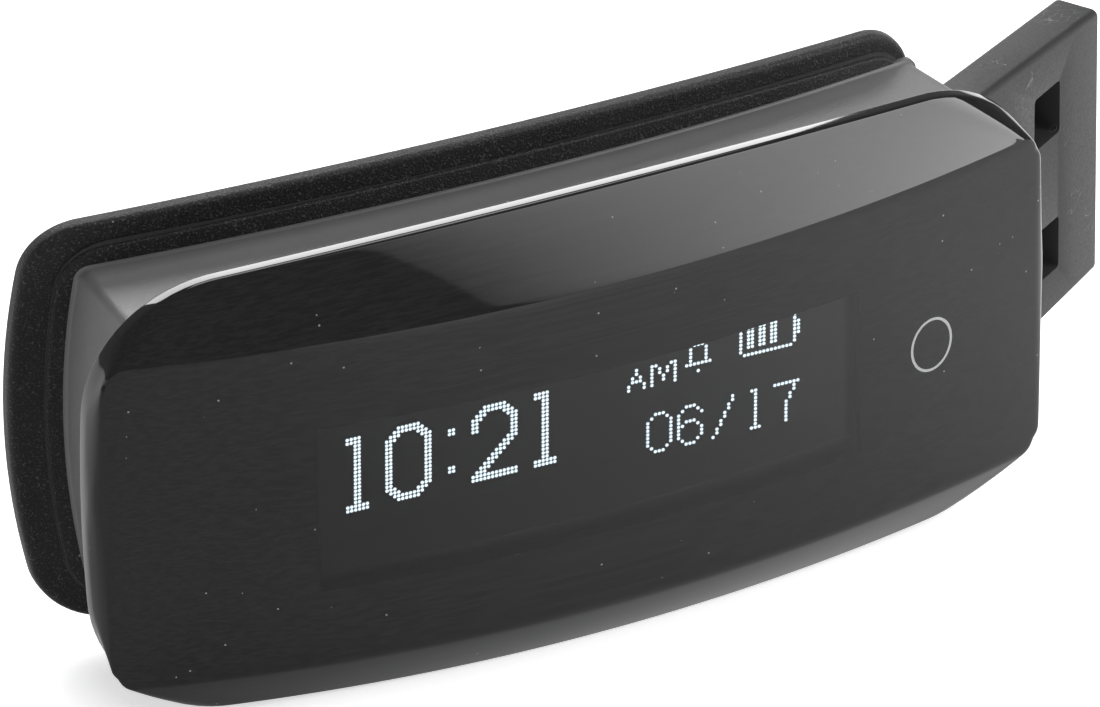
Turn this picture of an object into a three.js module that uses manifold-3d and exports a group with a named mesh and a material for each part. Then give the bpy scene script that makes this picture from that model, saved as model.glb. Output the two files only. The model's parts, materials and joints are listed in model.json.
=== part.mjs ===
// Clip-in fitness tracker core with a built-in USB charging plug, as an assembly of named meshes.
// Millimetres. +X runs along the length towards the plug, +Y from the display to the wrist, +Z up.
// The object stands on its long lower edge, and the origin is the middle of its box's underside.
import * as THREE from "three";
import { mergeVertices } from "three/addons/utils/BufferGeometryUtils.js";
import Module from "manifold-3d";

const wasm = await Module();
wasm.setup();

// Overall sizes of the body, measured from the middle of the front face.
const bodyHalfLength = 21.35;
const bodyHalfHeight = 10.45;
const bodyDepth = 8.3;

// Front lens: a bowed flat face, a bevel down to the rim, and a short rim wall.
const lensSideRadius = 250;
const lensEndRadius = 79;
const lensCornerRadius = 5.9;
const faceBow = 74.4;
const faceCornerRadius = 0.8;
const faceSideRadius = 4000;
const faceEndRadius = 400;
const endBevel = 0.45;
const sideBevel = 3.09;
const rimDepth = 2.0;
const rimBow = 119;
const rimWall = 0.5;
const lensWall = 1.0;

// Housing: a waist that the wrist band grips, a collar under the lens and a foot on the cover.
const waistEndInset = 2.29;
const waistSideInset = 1.95;
const waistSideRadius = 140;
const waistEndRadius = 38;
const waistCornerRadius = 1.0;
const waistWall = 1.0;
const collarInset = 0.6;
const collarThickness = 0.8;
const footWidth = 0.95;
const footEndWidth = 0.5;
const footCentreX = -0.45;
const footThickness = 0.35;
const footCornerRadius = 2.4;

// Back cover: a bowed plate whose rim stands out past the waist, except at the plug's end.
const coverEndInset = 0.94;
const coverCentreX = -0.93;
const coverSideRadius = 122;
const coverEndRadius = 36;
const coverCornerRadius = 2.9;
const coverBow = 58;
const coverThickness = 0.7;
const coverRibHeight = 0.8;
const coverRibWall = 0.7;

// Clearances and thin layers.
const foilThickness = 0.1;
const fitGap = 0.1;
const layerGap = 0.03;
const maskThickness = 0.1;
const printThickness = 0.05;

// Display window, printed touch ring and display panel.
const windowLength = 23.9;
const windowHeight = 7.1;
const windowCentreX = -0.3;
const windowCentreZ = -0.3;
const touchRingInset = 5.9;
const touchRingZ = -0.4;
const touchRingRadius = 1.225;
const touchRingLine = 0.14;
const panelAirGap = 0.9;
const panelEndGap = 1.2;
const panelSideGap = 0.7;
const panelLedge = 3.4;
const glassThickness = 0.6;
const touchZone = 5.6;

// Main board and what it carries.
const boardGap = 0.45;
const boardThickness = 0.8;
const boardEndGap = 1.2;
const boardSideGap = 0.5;
const plugZone = 3.6;
const chipStripLength = 4.1;
const stripGap = 0.4;
const batterySideGap = 0.6;
const batteryCoverGap = 0.3;

// Vibration motor.
const motorRadius = 3.5;
const motorHeight = 2.1;
const motorWall = 0.2;
const shaftRadius = 0.4;
const runningGap = 0.05;
const weightRadius = 2.9;
const weightThickness = 1.0;
const motorEndGap = 0.6;

// USB blade: half-height plug body, tilted back from the length of the tracker.
const plugTilt = THREE.MathUtils.degToRad(32.6);
const plugReach = 7.1;
const plugTipBehindBack = 4.1;
const plugWidth = 12.0;
const plugThickness = 2.1;
const plugLength = 13.4;
const plugDraft = THREE.MathUtils.degToRad(2.4);
const plugCorner = 0.35;
const plugWindowWidth = 2.45;
const plugWindowLength = 2.1;
const plugWindowFromTip = 3.3;
const plugWindowOffset = 3.2;
const plugWindowDeep = 1.3;
const plugWindowShallow = 0.25;
const contactWidth = 1.0;
const contactThickness = 0.15;
const contactFromTip = 1.4;
const outerContact = { offset: 3.5, length: 7.4 };
const innerContact = { offset: 1.0, length: 6.4 };

const ARC_STEPS = 6;
const SIDE_STEPS = 12;
const CIRCLE_STEPS = 36;

// Sizes worked out from the ones above.
const waistHalfLength = bodyHalfLength - waistEndInset;
const waistHalfHeight = bodyHalfHeight - waistSideInset;
const cavityHalfLength = waistHalfLength - waistWall;
const cavityHalfHeight = waistHalfHeight - waistWall;
const lensBack = rimDepth + rimWall;
const panelLeft = -cavityHalfLength + panelEndGap;
const panelRight = cavityHalfLength - touchZone;
const panelDepth = lensWall + bowAt(panelRight, faceBow) + panelAirGap;
const coverFront = bodyDepth - coverThickness;
const gasketFront = lensBack + layerGap;
const collarFront = gasketFront + foilThickness + layerGap;
const footBack = coverFront - foilThickness - 2 * layerGap;
const boardFront = panelDepth + 2 * glassThickness + layerGap + boardGap;
const boardBack = boardFront + boardThickness;
const plugTipX = bodyHalfLength + plugReach;
const plugTipDepth = bodyDepth + plugTipBehindBack;

// How far a surface bowed with this radius lies behind its middle, at a distance x from it.
function bowAt(x, radius) {
  return radius - Math.sqrt(radius * radius - x * x);
}

// Half height of the cavity at a distance x from its middle.
function roomAt(x) {
  return cavityHalfHeight - bowAt(x, waistSideRadius - waistWall);
}

// Upper half of a barrel outline as points (x, z) from its left end to its right end.
// The long side and the end are arcs, joined by a corner arc that touches both.
function barrelTop({ centre = 0, halfLength, halfHeight, sideRadius, endRadius, corner }) {
  const endCentre = new THREE.Vector2(halfLength - endRadius, 0);
  const sideCentre = new THREE.Vector2(0, halfHeight - sideRadius);
  const toEnd = endRadius - corner;
  const toSide = sideRadius - corner;
  const between = sideCentre.clone().sub(endCentre);
  const apart = between.length();
  const along = (toEnd * toEnd - toSide * toSide + apart * apart) / (2 * apart);
  const across = Math.sqrt(toEnd * toEnd - along * along);
  between.normalize();
  const cornerCentre = new THREE.Vector2(-between.y, between.x)
    .multiplyScalar(across)
    .addScaledVector(between, along)
    .add(endCentre);
  const endAngle = cornerCentre.clone().sub(endCentre).angle();
  const sideAngle = cornerCentre.clone().sub(sideCentre).angle();
  const right = [
    ...arcPoints(endCentre, endRadius, 0, endAngle, ARC_STEPS),
    ...arcPoints(cornerCentre, corner, endAngle, sideAngle, ARC_STEPS),
    ...arcPoints(sideCentre, sideRadius, sideAngle, Math.PI / 2, SIDE_STEPS),
  ];
  const left = right.map((p) => new THREE.Vector2(-p.x, p.y));
  const middle = new THREE.Vector2(0, halfHeight);
  const outline = [...left, middle, ...right.reverse()];
  return outline.map((p) => new THREE.Vector2(p.x + centre, p.y));
}

// Points of an arc, with its last point left to the next arc.
function arcPoints(centre, radius, from, to, steps) {
  const points = [];
  for (let i = 0; i < steps; i++) {
    const angle = from + ((to - from) * i) / steps;
    points.push(
      new THREE.Vector2(
        centre.x + radius * Math.cos(angle),
        centre.y + radius * Math.sin(angle),
      ),
    );
  }
  return points;
}

// A closed body through matched outlines, listed from front to back. Each layer has its outline's
// upper half, a depth at the middle and the radius that it is bowed with.
function layeredBody(layers) {
  const positions = [];
  const count = layers[0].top.length;
  const ringSize = 2 * count - 2;
  for (const { top, depth, bow } of layers) {
    const under = top.slice(1, -1).reverse();
    const ring = [...top, ...under.map((p) => new THREE.Vector2(p.x, -p.y))];
    for (const p of ring) positions.push(p.x, depth + bowAt(p.x, bow), p.y);
  }
  const index = [];
  const quad = (a, b, c, d) => index.push(a, b, c, a, c, d);
  for (let layer = 0; layer < layers.length - 1; layer++) {
    const base = layer * ringSize;
    for (let i = 0; i < ringSize; i++) {
      const next = (i + 1) % ringSize;
      quad(base + i, base + next, base + ringSize + next, base + ringSize + i);
    }
  }
  const last = (layers.length - 1) * ringSize;
  const under = (i) => (ringSize - i) % ringSize;
  for (let i = 0; i < count - 1; i++) {
    const [a, b, c, d] = [i, i + 1, under(i + 1), under(i)];
    if (a !== d) index.push(a, d, b);
    if (b !== c) index.push(b, d, c);
    if (a !== d) index.push(last + a, last + b, last + d);
    if (b !== c) index.push(last + b, last + c, last + d);
  }
  return new THREE.BufferGeometry()
    .setAttribute("position", new THREE.Float32BufferAttribute(positions, 3))
    .setIndex(index);
}

// A bowed plate of one outline between two depths.
function bowedPlate(outline, front, back, bow, backBow = bow) {
  const top = barrelTop(outline);
  return layeredBody([
    { top, depth: front, bow },
    { top, depth: back, bow: backBow },
  ]);
}

function toSolid(geometry) {
  const bare = geometry.clone();
  bare.deleteAttribute("normal");
  bare.deleteAttribute("uv");
  const merged = mergeVertices(bare, 1e-4);
  return new wasm.Manifold(
    new wasm.Mesh({
      numProp: 3,
      vertProperties: merged.attributes.position.array,
      triVerts: new Uint32Array(merged.index.array),
    }),
  );
}

function toGeometry(solid) {
  const mesh = solid.getMesh();
  return new THREE.BufferGeometry()
    .setAttribute("position", new THREE.BufferAttribute(mesh.vertProperties, 3))
    .setIndex(new THREE.BufferAttribute(mesh.triVerts, 1));
}

function cutFrom(body, ...tools) {
  const cut = tools.reduce((rest, tool) => rest.subtract(toSolid(tool)), toSolid(body));
  return toGeometry(cut);
}

function joined(first, ...others) {
  const whole = others.reduce((sum, other) => sum.add(toSolid(other)), toSolid(first));
  return toGeometry(whole);
}

function sharedBy(first, second) {
  return toGeometry(toSolid(first).intersect(toSolid(second)));
}

// A box between two corners.
function boxBetween([x0, y0, z0], [x1, y1, z1]) {
  const box = new THREE.BoxGeometry(x1 - x0, y1 - y0, z1 - z0);
  return box.translate((x0 + x1) / 2, (y0 + y1) / 2, (z0 + z1) / 2);
}

// A plain cylinder along Y from its front depth.
function rodAlongY(radius, x, z, front, length) {
  const rod = new THREE.CylinderGeometry(radius, radius, length, CIRCLE_STEPS);
  return rod.translate(x, front + length / 2, z);
}

const root = new THREE.Group();

function addPiece(name, geometry, color, roughness, metalness, parent = root) {
  geometry.computeVertexNormals();
  const material = new THREE.MeshStandardMaterial({ color, roughness, metalness });
  const mesh = new THREE.Mesh(geometry, material);
  mesh.name = name;
  parent.add(mesh);
}

// Outlines.
const rimOutline = {
  halfLength: bodyHalfLength,
  halfHeight: bodyHalfHeight,
  sideRadius: lensSideRadius,
  endRadius: lensEndRadius,
  corner: lensCornerRadius,
};
const faceOutline = {
  halfLength: bodyHalfLength - endBevel,
  halfHeight: bodyHalfHeight - sideBevel,
  sideRadius: faceSideRadius,
  endRadius: faceEndRadius,
  corner: faceCornerRadius,
};
const waistOutline = {
  halfLength: waistHalfLength,
  halfHeight: waistHalfHeight,
  sideRadius: waistSideRadius,
  endRadius: waistEndRadius,
  corner: waistCornerRadius,
};
const cavityOutline = insetOutline(waistOutline, waistWall, 0.6);
const footOutline = {
  centre: footCentreX,
  halfLength: waistHalfLength + footEndWidth,
  halfHeight: waistHalfHeight + footWidth,
  sideRadius: waistSideRadius + footWidth,
  endRadius: waistEndRadius + footWidth,
  corner: footCornerRadius,
};
const coverOutline = {
  centre: coverCentreX,
  halfLength: bodyHalfLength - coverEndInset,
  halfHeight: bodyHalfHeight,
  sideRadius: coverSideRadius,
  endRadius: coverEndRadius,
  corner: coverCornerRadius,
};

// An outline moved inwards by a distance, with its own corner radius.
function insetOutline(outline, distance, corner) {
  return {
    halfLength: outline.halfLength - distance,
    halfHeight: outline.halfHeight - distance,
    sideRadius: outline.sideRadius - distance,
    endRadius: outline.endRadius - distance,
    corner,
  };
}

const throughFront = -5;
const throughBack = bodyDepth + 10;

// Cavity shared by the lens pocket and the housing, from a depth to beyond the back.
function cavityFrom(depth, bow) {
  return bowedPlate(cavityOutline, depth, throughBack, bow, coverBow);
}

function makeFrontLens() {
  const shell = layeredBody([
    { top: barrelTop(faceOutline), depth: 0, bow: faceBow },
    { top: barrelTop(rimOutline), depth: rimDepth, bow: rimBow },
    { top: barrelTop(rimOutline), depth: lensBack, bow: rimBow },
  ]);
  const pocket = cavityFrom(lensWall, faceBow);
  addPiece("front_lens", cutFrom(shell, pocket), 0x0b0b0d, 0.04, 0);
}

function makeLensMask() {
  const outline = insetOutline(cavityOutline, fitGap, 0.5);
  const front = lensWall + 2 * layerGap + printThickness;
  const film = bowedPlate(outline, front, front + maskThickness, faceBow);
  const window = boxBetween(
    [windowCentreX - windowLength / 2, throughFront, windowCentreZ - windowHeight / 2],
    [windowCentreX + windowLength / 2, throughBack, windowCentreZ + windowHeight / 2],
  );
  addPiece("lens_mask", cutFrom(film, window), 0x060607, 0.4, 0);
}

function makeTouchRing() {
  const ring = new THREE.Shape();
  ring.absarc(bodyHalfLength - touchRingInset, touchRingZ, touchRingRadius, 0, 2 * Math.PI, false);
  const hole = new THREE.Path();
  const innerRadius = touchRingRadius - touchRingLine;
  hole.absarc(bodyHalfLength - touchRingInset, touchRingZ, innerRadius, 0, 2 * Math.PI, true);
  ring.holes.push(hole);
  const tube = new THREE.ExtrudeGeometry(ring, {
    depth: throughBack - throughFront,
    bevelEnabled: false,
    curveSegments: CIRCLE_STEPS,
  });
  tube.rotateX(Math.PI / 2).translate(0, throughBack, 0);
  const front = lensWall + layerGap;
  const layer = bowedPlate(cavityOutline, front, front + printThickness, faceBow);
  addPiece("touch_ring", sharedBy(layer, tube), 0xb4b6b8, 0.5, 0);
}

function makeLensGasket() {
  const outline = insetOutline(rimOutline, collarInset, lensCornerRadius - collarInset);
  const foil = bowedPlate(outline, gasketFront, gasketFront + foilThickness, rimBow);
  addPiece("lens_gasket", cutFrom(foil, cavityFrom(lensWall, faceBow)), 0x1a1a1c, 0.8, 0);
}

function makeHousing() {
  const collarOutline = insetOutline(rimOutline, collarInset, lensCornerRadius - collarInset);
  const collar = bowedPlate(collarOutline, collarFront, collarFront + collarThickness, rimBow);
  const waist = bowedPlate(waistOutline, collarFront, footBack, rimBow, coverBow);
  const foot = bowedPlate(footOutline, footBack - footThickness, footBack, coverBow);
  const slot = bladeBody(fitGap);
  const body = joined(collar, waist, foot);
  addPiece("housing", cutFrom(body, cavityFrom(lensWall, faceBow), slot), 0x151517, 0.32, 0);
}

function makeBackCover() {
  const plate = bowedPlate(coverOutline, coverFront, bodyDepth, coverBow);
  const ribOutline = insetOutline(cavityOutline, fitGap, 0.5);
  const ribInner = insetOutline(ribOutline, coverRibWall, 0.4);
  const rib = cutFrom(
    bowedPlate(ribOutline, coverFront - coverRibHeight, coverFront + layerGap, coverBow),
    bowedPlate(ribInner, throughFront, throughBack, coverBow),
  );
  addPiece("back_cover", joined(plate, rib), 0x141416, 0.55, 0);
}

function makeCoverGasket() {
  const foil = bowedPlate(footOutline, footBack + layerGap, coverFront - layerGap, coverBow);
  addPiece("cover_gasket", cutFrom(foil, cavityFrom(lensWall, faceBow)), 0x1a1a1c, 0.8, 0);
}

// Places a geometry of the plug's own frame in the body: x to the tip, y through the thickness.
function placePlug(geometry) {
  return geometry.rotateZ(plugTilt).translate(plugTipX, plugTipDepth, 0);
}

// The blade's solid shape in the body's frame, grown by a clearance.
function bladeBody(gap) {
  const tipHalf = plugWidth / 2 + gap;
  const rootHalf = tipHalf + plugLength * Math.tan(plugDraft);
  const outline = new THREE.Shape();
  outline.moveTo(-plugLength, -rootHalf);
  outline.lineTo(-plugCorner, -tipHalf);
  outline.lineTo(0, -tipHalf + plugCorner);
  outline.lineTo(0, tipHalf - plugCorner);
  outline.lineTo(-plugCorner, tipHalf);
  outline.lineTo(-plugLength, rootHalf);
  const depth = plugThickness + 2 * gap;
  const blade = new THREE.ExtrudeGeometry(outline, { depth, bevelEnabled: false });
  blade.rotateX(-Math.PI / 2).translate(0, -gap, 0);
  return placePlug(blade);
}

// A latch window: a wedge that is deep at the tip's side and runs out towards the body.
function latchWindow(side) {
  const tipEnd = -plugWindowFromTip;
  const wedge = new THREE.Shape();
  wedge.moveTo(tipEnd, -1);
  wedge.lineTo(tipEnd, plugWindowDeep);
  wedge.lineTo(tipEnd - plugWindowLength, plugWindowShallow);
  wedge.lineTo(tipEnd - plugWindowLength, -1);
  const cut = new THREE.ExtrudeGeometry(wedge, { depth: plugWindowWidth, bevelEnabled: false });
  cut.translate(0, 0, side * plugWindowOffset - plugWindowWidth / 2);
  return placePlug(cut);
}

// A contact pad, or its pocket when grown by a gap, on the blade's wrist side.
function contactPad({ offset, length }, gap) {
  const front = plugThickness - contactThickness - gap;
  const back = gap ? plugThickness + 1 : plugThickness;
  const pad = boxBetween(
    [-contactFromTip - length - gap, front, offset - contactWidth / 2 - gap],
    [-contactFromTip + gap, back, offset + contactWidth / 2 + gap],
  );
  return placePlug(pad);
}

function makeUsbPlug() {
  const contacts = [
    outerContact,
    innerContact,
    { ...innerContact, offset: -innerContact.offset },
    { ...outerContact, offset: -outerContact.offset },
  ];
  const pockets = contacts.map((contact) => contactPad(contact, runningGap));
  const blade = cutFrom(bladeBody(0), latchWindow(1), latchWindow(-1), ...pockets);
  addPiece("usb_blade", blade, 0x2c2c2e, 0.6, 0);
  contacts.forEach((contact, i) => {
    addPiece(`usb_contact_${i + 1}`, contactPad(contact, 0), 0xd8b25a, 0.25, 1);
  });
}

const panelHalfHeight = roomAt(panelLeft) - panelSideGap;
const boardLeft = -cavityHalfLength + boardEndGap;
const boardRight = cavityHalfLength - plugZone;
const boardHalfHeight = roomAt(boardLeft) - boardSideGap;

function makeDisplay() {
  const coverBack = panelDepth + glassThickness;
  const baseFront = coverBack + layerGap;
  const cover = boxBetween(
    [panelLeft + panelLedge, panelDepth, -panelHalfHeight],
    [panelRight, coverBack, panelHalfHeight],
  );
  addPiece("display_cover_glass", cover, 0x0a0c10, 0.05, 0);
  const base = boxBetween(
    [panelLeft, baseFront, -panelHalfHeight],
    [panelRight, baseFront + glassThickness, panelHalfHeight],
  );
  addPiece("display_base_glass", base, 0x1a1e22, 0.1, 0);
  const driver = boxBetween(
    [panelLeft + 1.6, baseFront - 0.3, -panelHalfHeight + 1],
    [panelLeft + 2.6, baseFront - layerGap, panelHalfHeight - 1],
  );
  addPiece("display_driver", driver, 0x16181a, 0.3, 0.2);
  const flexPath = new THREE.CatmullRomCurve3([
    new THREE.Vector3(panelLeft + 1.2, baseFront - 0.1, 0),
    new THREE.Vector3(panelLeft + 0.1, baseFront - 0.14, 0),
    new THREE.Vector3(panelLeft - 0.4, baseFront + 0.2, 0),
    new THREE.Vector3(panelLeft - 0.4, boardFront - 0.5, 0),
    new THREE.Vector3(panelLeft + 0.1, boardFront - 0.12, 0),
    new THREE.Vector3(panelLeft + 1.2, boardFront - 0.1, 0),
  ]);
  const strip = new THREE.Shape();
  const halfStrip = 3.5;
  const halfFilm = 0.05;
  strip.moveTo(-halfStrip, -halfFilm);
  strip.lineTo(halfStrip, -halfFilm);
  strip.lineTo(halfStrip, halfFilm);
  strip.lineTo(-halfStrip, halfFilm);
  const flex = new THREE.ExtrudeGeometry(strip, { steps: 24, extrudePath: flexPath });
  addPiece("display_flex", flex, 0xb06a1e, 0.4, 0);
}

function makeDisplayFoam() {
  const front = panelDepth - 0.2;
  const back = panelDepth + 2 * glassThickness;
  const inner = panelHalfHeight + fitGap;
  const outer = cavityHalfHeight;
  const outline = insetOutline(cavityOutline, fitGap, 0.5);
  const room = bowedPlate(outline, throughFront, throughBack, faceBow);
  const upper = boxBetween([panelLeft + panelLedge, front, inner], [panelRight, back, outer]);
  addPiece("display_foam_upper", sharedBy(upper, room), 0x202022, 0.95, 0);
  const lower = boxBetween([panelLeft + panelLedge, front, -outer], [panelRight, back, -inner]);
  addPiece("display_foam_lower", sharedBy(lower, room), 0x202022, 0.95, 0);
}

function makeBoard() {
  const board = boxBetween(
    [boardLeft, boardFront, -boardHalfHeight],
    [boardRight, boardBack, boardHalfHeight],
  );
  addPiece("main_board", board, 0x14512e, 0.45, 0);
}

const motorX = boardLeft + motorEndGap + motorRadius;
const chipsLeft = motorX + motorRadius + stripGap;
const batteryLeft = chipsLeft + chipStripLength + stripGap;
const batteryRight = boardRight;

// Chips soldered to the board's wrist side, in the strip between the motor and the battery.
function makeChips() {
  const chips = [
    ["mcu_chip", 0.0, 0.2, 3.6, 3.6, 0.6, 0x101012],
    ["radio_chip", 0.0, 3.9, 2.6, 2.6, 0.6, 0x121214],
    ["flash_chip", 0.0, -3.2, 2.4, 2.0, 0.5, 0x101012],
    ["motion_sensor", -0.9, -5.1, 1.6, 1.0, 0.5, 0x3a3a3c],
    ["crystal", 1.1, -5.1, 1.4, 0.9, 0.4, 0xb8b8ba],
  ];
  for (const [name, x, z, length, height, thickness, color] of chips) {
    const middle = chipsLeft + chipStripLength / 2 + x;
    const chip = boxBetween(
      [middle - length / 2, boardBack, z - height / 2],
      [middle + length / 2, boardBack + thickness, z + height / 2],
    );
    addPiece(name, chip, color, 0.4, name === "crystal" ? 0.8 : 0);
  }
  const corner = boardHalfHeight - 0.3;
  const antenna = boxBetween(
    [boardLeft + 0.3, boardBack, corner - 1.2],
    [boardLeft + 2.9, boardBack + 0.8, corner],
  );
  addPiece("chip_antenna", antenna, 0xd9d2bf, 0.5, 0);
  const charger = boxBetween(
    [boardLeft + 0.3, boardBack, -corner],
    [boardLeft + 2.3, boardBack + 0.6, -corner + 1.6],
  );
  addPiece("charge_chip", charger, 0x101012, 0.4, 0);
}

function makeTouchKey() {
  const padFront = lensWall + 2 * layerGap + printThickness + maskThickness + layerGap;
  const centreX = bodyHalfLength - touchRingInset;
  const disc = rodAlongY(2.2, centreX, touchRingZ, throughFront, throughBack - throughFront);
  const layer = bowedPlate(cavityOutline, padFront, padFront + printThickness, faceBow);
  addPiece("touch_pad", sharedBy(layer, disc), 0xc77b3c, 0.35, 1);
  const springX = boardRight - 0.9;
  const padBack = padFront + printThickness + bowAt(springX + 0.6, faceBow) + 0.15;
  const turns = 4;
  const steps = 40;
  const points = [];
  for (let i = 0; i <= steps; i++) {
    const t = i / steps;
    const angle = 2 * Math.PI * turns * t;
    const radius = 0.35 + 0.25 * t;
    points.push(
      new THREE.Vector3(
        springX + radius * Math.cos(angle),
        padBack + (boardFront - 0.12 - padBack) * t,
        touchRingZ + radius * Math.sin(angle),
      ),
    );
  }
  const wire = new THREE.Shape();
  wire.absarc(0, 0, 0.07, 0, 2 * Math.PI, false);
  const spring = new THREE.ExtrudeGeometry(wire, {
    steps,
    curveSegments: 4,
    extrudePath: new THREE.CatmullRomCurve3(points),
  });
  addPiece("touch_spring", spring, 0xc9a45a, 0.3, 1);
}

function makeBattery() {
  const halfHeight = roomAt(batteryRight) - batterySideGap;
  const front = boardBack + layerGap;
  const back = coverFront - batteryCoverGap;
  const guardLength = 1.4;
  const cell = boxBetween(
    [batteryLeft + guardLength + fitGap, front, -halfHeight],
    [batteryRight, back, halfHeight],
  );
  addPiece("battery_cell", cell, 0xb9bcc0, 0.35, 0.8);
  const guard = boxBetween(
    [batteryLeft, front + 0.3, -halfHeight + 0.6],
    [batteryLeft + guardLength, front + 0.9, halfHeight - 0.6],
  );
  addPiece("battery_guard_board", guard, 0x1c5a36, 0.5, 0);
}

// A vibration motor of the coin kind: cup, base disc, fixed shaft and a half-round weight that
// turns on it, at rest with its heavy side down.
function makeMotor() {
  const front = boardBack + layerGap;
  const baseThickness = 0.25;
  const base = rodAlongY(motorRadius, motorX, 0, front, baseThickness);
  addPiece("motor_base", base, 0xa9abae, 0.35, 0.9);
  const cupFront = front + baseThickness + layerGap;
  const cupOuter = rodAlongY(motorRadius, motorX, 0, cupFront, motorHeight - baseThickness);
  const cupRoom = rodAlongY(
    motorRadius - motorWall,
    motorX,
    0,
    cupFront - 1,
    motorHeight - baseThickness - motorWall + 1,
  );
  addPiece("motor_cup", cutFrom(cupOuter, cupRoom), 0xb5b7ba, 0.3, 0.9);
  const shaftLength = motorHeight - baseThickness - motorWall - layerGap;
  const shaft = rodAlongY(shaftRadius, motorX, 0, cupFront, shaftLength);
  addPiece("motor_shaft", shaft, 0xc4c6c9, 0.2, 1);
  const weightFront = cupFront + (shaftLength - weightThickness) / 2;
  const half = new THREE.Shape();
  half.absarc(0, 0, weightRadius, 0, Math.PI, false);
  half.absarc(0, 0, 2 * shaftRadius, Math.PI, 2 * Math.PI, false);
  const weight = new THREE.ExtrudeGeometry(half, {
    depth: weightThickness,
    bevelEnabled: false,
    curveSegments: CIRCLE_STEPS / 2,
  });
  weight.rotateX(-Math.PI / 2).translate(motorX, weightFront, 0);
  const bore = rodAlongY(shaftRadius + runningGap, motorX, 0, weightFront - 1, weightThickness + 2);
  addPiece("motor_weight", cutFrom(weight, bore), 0x8d7f5c, 0.35, 0.9);
}

makeFrontLens();
makeLensMask();
makeTouchRing();
makeLensGasket();
makeHousing();
makeBackCover();
makeCoverGasket();
makeUsbPlug();
makeDisplay();
makeDisplayFoam();
makeBoard();
makeChips();
makeTouchKey();
makeBattery();
makeMotor();

// The origin is the middle of the underside of the whole object's box.
const box = new THREE.Box3().setFromObject(root);
const middle = box.getCenter(new THREE.Vector3());
root.position.set(-middle.x, -middle.y, -box.min.z);

export default root;
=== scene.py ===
# Clip-in fitness tracker core: skins, finishes, floor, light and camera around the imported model.
import json
import math

import bpy
from mathutils import Matrix, Vector


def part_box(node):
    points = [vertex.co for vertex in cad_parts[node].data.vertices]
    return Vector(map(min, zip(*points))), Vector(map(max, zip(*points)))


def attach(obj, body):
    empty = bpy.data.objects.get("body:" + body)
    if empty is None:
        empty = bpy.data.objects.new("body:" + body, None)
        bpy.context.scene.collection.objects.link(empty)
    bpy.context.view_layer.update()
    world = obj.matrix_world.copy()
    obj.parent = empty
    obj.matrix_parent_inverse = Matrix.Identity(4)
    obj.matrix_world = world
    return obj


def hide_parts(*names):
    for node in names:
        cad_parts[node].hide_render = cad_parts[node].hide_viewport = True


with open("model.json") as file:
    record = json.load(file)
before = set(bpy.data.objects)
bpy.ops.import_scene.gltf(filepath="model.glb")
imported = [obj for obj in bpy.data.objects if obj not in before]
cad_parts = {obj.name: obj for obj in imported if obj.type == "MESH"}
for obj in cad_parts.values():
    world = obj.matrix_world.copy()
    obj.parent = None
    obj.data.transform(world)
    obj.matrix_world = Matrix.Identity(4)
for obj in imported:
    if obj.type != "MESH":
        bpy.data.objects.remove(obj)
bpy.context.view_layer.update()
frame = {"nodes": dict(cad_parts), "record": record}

mm = 0.001
scene = bpy.context.scene

# The body's own millimetres: zero in the middle of the front face, +Y to the wrist.
lensLow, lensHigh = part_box("front_lens")
bodyMiddle = Vector(((lensLow.x + lensHigh.x) / 2, lensLow.y, (lensLow.z + lensHigh.z) / 2))


def place(x, y, z):
    return bodyMiddle + Vector((x, y, z)) * mm


# Camera.
camera = {
    "azimuth": -25.2, "elevation": 30.79, "roll": -0.905,
    "distance": 489.5, "lens": 399.56, "aimRight": 2.523, "aimUp": -3.35,
}


def makeCamera(s):
    az, el, roll = (math.radians(s[k]) for k in ("azimuth", "elevation", "roll"))
    look = Vector((-math.sin(az) * math.cos(el), math.cos(az) * math.cos(el), -math.sin(el)))
    flatRight = look.cross(Vector((0, 0, 1))).normalized()
    flatUp = flatRight.cross(look)
    right = flatRight * math.cos(roll) + flatUp * math.sin(roll)
    up = flatUp * math.cos(roll) - flatRight * math.sin(roll)
    spot = -right * s["aimRight"] - up * s["aimUp"] - look * s["distance"]
    data = bpy.data.cameras.new("camera")
    data.lens, data.sensor_width, data.sensor_fit = s["lens"], 36, "HORIZONTAL"
    data.clip_start, data.clip_end = 0.01, 50
    seen = bpy.data.objects.new("camera", data)
    turn = Matrix((right, up, -look)).transposed().to_4x4()
    seen.matrix_world = Matrix.Translation(place(*spot)) @ turn
    scene.collection.objects.link(seen)
    scene.camera = seen


makeCamera(camera)
print("camera is set")


# Outlines and lofts.
def arcRun(centre, radius, start, end, steps):
    run = []
    for i in range(steps):
        angle = start + (end - start) * (i + 0.5) / steps
        run.append((centre[0] + radius * math.cos(angle), centre[1] + radius * math.sin(angle)))
    return run


def barrel(halfLength, halfHeight, sideRadius, endRadius, corner, low=0, centre=0, steps=(10, 16, 44)):
    # Ring of (x, z): the upper chain from the right end to the left end, then the lower chain back.
    endMid = Vector((halfLength - endRadius, 0))
    sideMid = Vector((0, halfHeight - sideRadius))
    toEnd, toSide = endRadius - corner, sideRadius - corner
    between = sideMid - endMid
    apart = between.length
    along = (toEnd ** 2 - toSide ** 2 + apart ** 2) / (2 * apart)
    across = math.sqrt(max(toEnd ** 2 - along ** 2, 0))
    between.normalize()
    cornerMid = endMid + between * along + Vector((-between.y, between.x)) * across
    endAngle = math.atan2(cornerMid.y - endMid.y, cornerMid.x - endMid.x)
    sideAngle = math.atan2(cornerMid.y - sideMid.y, cornerMid.x - sideMid.x)
    quarter = arcRun(endMid, endRadius, 0, endAngle, steps[0])
    quarter += arcRun(cornerMid, corner, endAngle, sideAngle, steps[1])
    quarter += arcRun(sideMid, sideRadius, sideAngle, math.pi / 2, steps[2])
    upper = quarter + [(-x, z) for x, z in reversed(quarter)]
    lower = [(x, -z) for x, z in reversed(upper)]
    return [(x + centre, z + low) for x, z in upper + lower]


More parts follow.
